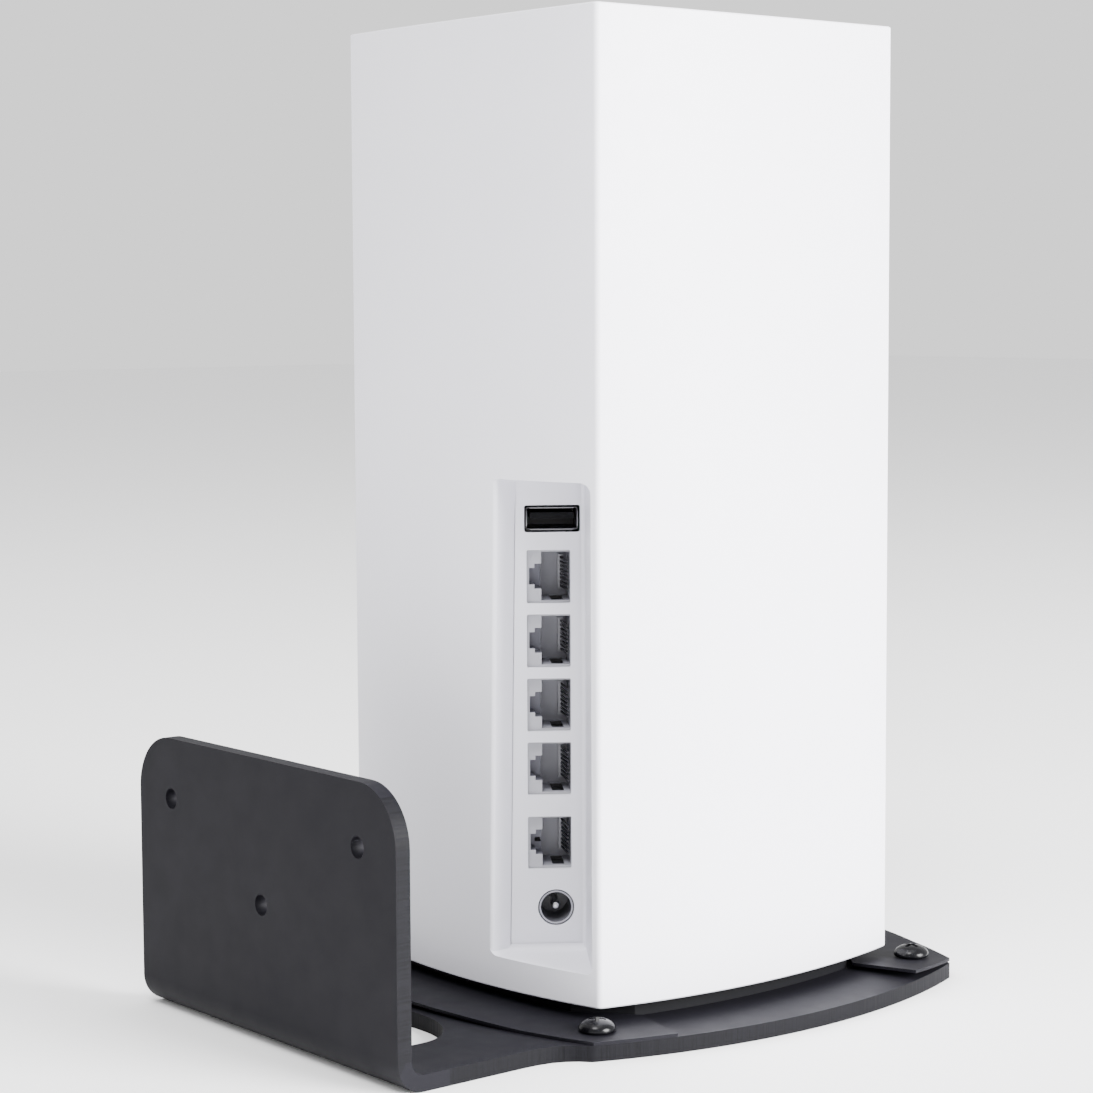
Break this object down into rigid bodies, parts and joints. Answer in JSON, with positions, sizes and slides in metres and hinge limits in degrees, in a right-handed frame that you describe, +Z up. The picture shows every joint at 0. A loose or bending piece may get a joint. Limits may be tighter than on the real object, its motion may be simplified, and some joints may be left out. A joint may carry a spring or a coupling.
{
  "type": "mesh wifi node",
  "caption": "Tall square mesh wifi node with bowed white faces and a slanted rear port recess, held on a black angle bracket for a wall.",
  "frame": {"origin": "centre of the bounding box, on the underside of the bracket shelf", "axes": "+Z up along the tower, +Y towards the wall and the port side, -X the other side beside the ports"},
  "size_m": [0.1492, 0.1894, 0.2505],
  "materials": {
    "shell_white": "fine moulded matt",
    "port_white": "smooth moulded",
    "bracket_black": "matt powder coat, sawn edges",
    "screw_black": "gloss black oxide",
    "black_plastic": "matt",
    "rubber_black": "matt",
    "jack_grey": "moulded",
    "steel": "plated",
    "contact_gold": "plated",
    "board": "solder mask",
    "aluminium": "extruded",
    "lens": "frosted, clear"
  },
  "bodies": {
    "root": {"wall_bracket": "bracket_black", "retainer_strip_rear": "bracket_black", "retainer_strip_front": "bracket_black", "retainer_screw_1": "screw_black", "retainer_screw_2": "screw_black", "retainer_screw_3": "screw_black", "retainer_screw_4": "screw_black", "base_screw_1": "screw_black", "base_screw_2": "screw_black", "base_screw_3": "screw_black", "base_screw_4": "screw_black", "outer_shell": "shell_white", "top_cover": "shell_white", "status_light_lens": "lens", "light_guide": "lens", "led_board": "board", "main_board": "board", "button_board": "board", "antenna_1": "board", "antenna_2": "board", "antenna_3": "board", "antenna_4": "board", "antenna_5": "board", "antenna_6": "board", "io_panel": "port_white", "lan_jack_1": "jack_grey", "lan_jack_2": "jack_grey", "lan_jack_3": "jack_grey", "lan_jack_4": "jack_grey", "wan_jack": "jack_grey", "lan_contacts_1": "contact_gold", "lan_contacts_2": "contact_gold", "lan_contacts_3": "contact_gold", "lan_contacts_4": "contact_gold", "wan_contacts": "contact_gold", "usb_shell": "steel", "dc_center_pin": "steel", "shield_can_1": "steel", "shield_can_2": "steel", "wps_tact_switch": "steel", "reset_tact_switch": "steel", "frame_screw_1": "steel", "frame_screw_2": "steel", "frame_screw_3": "steel", "frame_screw_4": "steel", "usb_tongue": "black_plastic", "dc_jack_body": "black_plastic", "base_plinth": "black_plastic", "power_switch_housing": "black_plastic", "inner_frame": "black_plastic", "heatsink_outer": "aluminium", "heatsink_inner": "aluminium", "rubber_foot_1": "rubber_black", "rubber_foot_2": "rubber_black", "rubber_foot_3": "rubber_black", "rubber_foot_4": "rubber_black"},
    "wps_button": {"wps_button": "port_white"},
    "reset_button": {"reset_button": "black_plastic"},
    "power_rocker": {"power_switch_rocker": "black_plastic"}
  },
  "joints": [
    {"name": "wps_button_press", "type": "slide", "parent": "root", "child": "wps_button", "axis": [0, 0, 1], "range_m": [0, 0.0008], "stiffness_N_per_m": 400, "springref_m": -0.001},
    {"name": "reset_button_press", "type": "slide", "parent": "root", "child": "reset_button", "axis": [0, 0, 1], "range_m": [0, 0.0005], "stiffness_N_per_m": 400, "springref_m": -0.001},
    {"name": "power_rocker_tilt", "type": "hinge", "parent": "root", "child": "power_rocker", "pos_m": [0.011, -0.0201, 0.0061], "axis": [1, 0, 0], "range_deg": [0, 18]}
  ]
}
